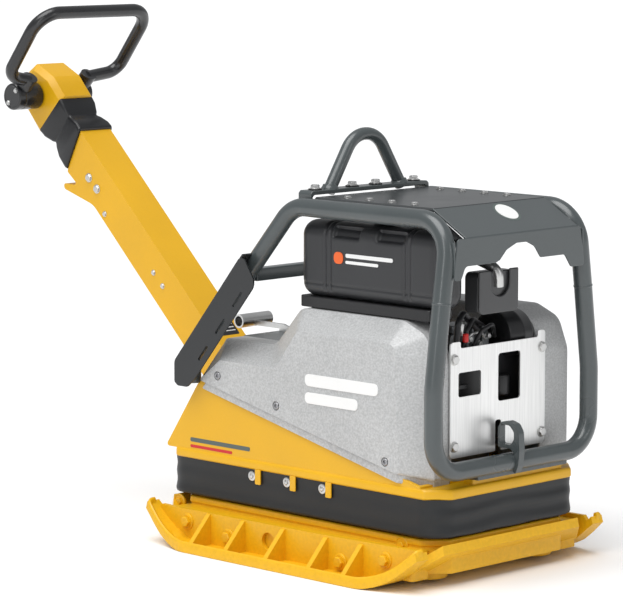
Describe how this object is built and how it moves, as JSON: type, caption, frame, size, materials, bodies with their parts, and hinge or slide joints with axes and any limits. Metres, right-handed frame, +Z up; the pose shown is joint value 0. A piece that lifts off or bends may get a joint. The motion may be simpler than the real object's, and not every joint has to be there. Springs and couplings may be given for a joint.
{
  "type": "plate compactor",
  "caption": "Reversible vibratory plate compactor: cast base plate, sprung deck with engine in a tube frame, tilting drawbar with a loop handle.",
  "frame": {"origin": "middle of the base plate's flat contact face, on the ground", "axes": "+X forward (towards the tow eye and front panel), +Y to the machine's left, +Z up"},
  "size_m": [1.6632, 0.71, 1.2492],
  "materials": {
    "yellow_paint": "satin",
    "frame_paint": "satin",
    "silver_casting": "satin",
    "stainless": "brushed",
    "zinc": "zinc plated",
    "dark_zinc": "machined",
    "cast_metal": "as cast",
    "engine_alloy": "cast",
    "rubber_black": "matt",
    "tank_plastic": "satin",
    "black_plastic": "gloss",
    "black_paint": "satin",
    "red_plastic": "gloss"
  },
  "bodies": {
    "base": {"v_belt": "rubber_black", "base_plate": "yellow_paint", "extension_plate_right": "yellow_paint", "extension_plate_left": "yellow_paint", "extension_bolts": "yellow_paint", "buffers": "rubber_black", "buffer_bolts": "yellow_paint", "exciter_housing": "cast_metal", "exciter_covers": "cast_metal", "exciter_bearings": "dark_zinc"},
    "front_exciter": {"front_exciter_shaft": "dark_zinc", "front_weights": "cast_metal", "front_gear": "dark_zinc"},
    "rear_exciter": {"rear_exciter_shaft": "dark_zinc", "rear_weights": "cast_metal", "rear_gear": "dark_zinc", "exciter_pulley": "cast_metal"},
    "chassis": {"chassis": "yellow_paint", "skirt": "rubber_black", "skirt_bolts": "zinc", "hood_right": "silver_casting", "hood_left": "silver_casting", "hood_bolts": "zinc", "front_panel": "stainless", "front_panel_bolts": "zinc", "front_hoop": "frame_paint", "side_tube_right": "frame_paint", "side_tube_left": "frame_paint", "rear_guards": "frame_paint", "cross_brace": "frame_paint", "front_lug": "frame_paint", "tow_eye": "frame_paint", "top_cover": "frame_paint", "visor": "frame_paint", "lifting_bracket": "frame_paint", "lifting_eye": "frame_paint", "top_bolts": "zinc", "rear_deck": "silver_casting", "deck_caps": "black_plastic", "engine_block": "engine_alloy", "fan_cowl": "black_paint", "air_filter": "black_plastic", "silencer": "black_paint", "fuel_tank": "tank_plastic", "drawbar_bracket": "yellow_paint", "pivot_pin": "zinc", "drawbar_stop": "zinc"},
    "crank": {"crankshaft": "dark_zinc", "flywheel": "cast_metal", "clutch_pulley": "cast_metal"},
    "fuel_cap": {"fuel_cap": "black_plastic"},
    "stop_lever": {"stop_lever": "red_plastic"},
    "drawbar": {"drawbar_beam": "yellow_paint", "beam_bolts": "zinc", "boot": "rubber_black", "head_casting": "yellow_paint", "handle_shaft": "dark_zinc"},
    "handle": {"handle_hubs": "black_plastic", "handle_loop": "black_paint"}
  },
  "joints": [
    {"name": "suspension", "type": "slide", "parent": "base", "child": "chassis", "axis": [0, 0, 1], "range_m": [-0.005, 0.005], "stiffness_N_per_m": 400000, "springref_m": 0.00495, "deforming": ["buffers", "v_belt"]},
    {"name": "crank_spin", "type": "hinge", "parent": "chassis", "child": "crank", "pos_m": [0.15, 0, 0.36], "axis": [0, 1, 0], "continuous": true},
    {"name": "front_exciter_spin", "type": "hinge", "parent": "base", "child": "front_exciter", "pos_m": [0.05, 0, 0.098], "axis": [0, 1, 0], "continuous": true},
    {"name": "rear_exciter_spin", "type": "hinge", "parent": "base", "child": "rear_exciter", "pos_m": [-0.05, 0, 0.098], "axis": [0, 1, 0], "continuous": true},
    {"name": "drawbar_pivot", "type": "hinge", "parent": "chassis", "child": "drawbar", "pos_m": [-0.44, 0, 0.3475], "axis": [0, 1, 0], "range_deg": [0, 45.5]},
    {"name": "handle_tilt", "type": "hinge", "parent": "drawbar", "child": "handle", "pos_m": [-1.13473, 0, 1.01727], "axis": [0, 1, 0], "range_deg": [-30, 30]},
    {"name": "fuel_cap_turn", "type": "hinge", "parent": "chassis", "child": "fuel_cap", "pos_m": [0.172, -0.14, 0.8], "axis": [0, 0, 1], "range_deg": [0, 90]},
    {"name": "stop_lever_swing", "type": "hinge", "parent": "chassis", "child": "stop_lever", "pos_m": [0.27, 0.036, 0.422], "axis": [1, 0, 0], "range_deg": [0, 40], "stiffness_Nm_per_rad": 0.05}
  ],
  "couplings": [
    {"joint": "rear_exciter_spin", "follows": "crank_spin", "ratio": 1.38},
    {"joint": "front_exciter_spin", "follows": "crank_spin", "ratio": -1.38}
  ]
}
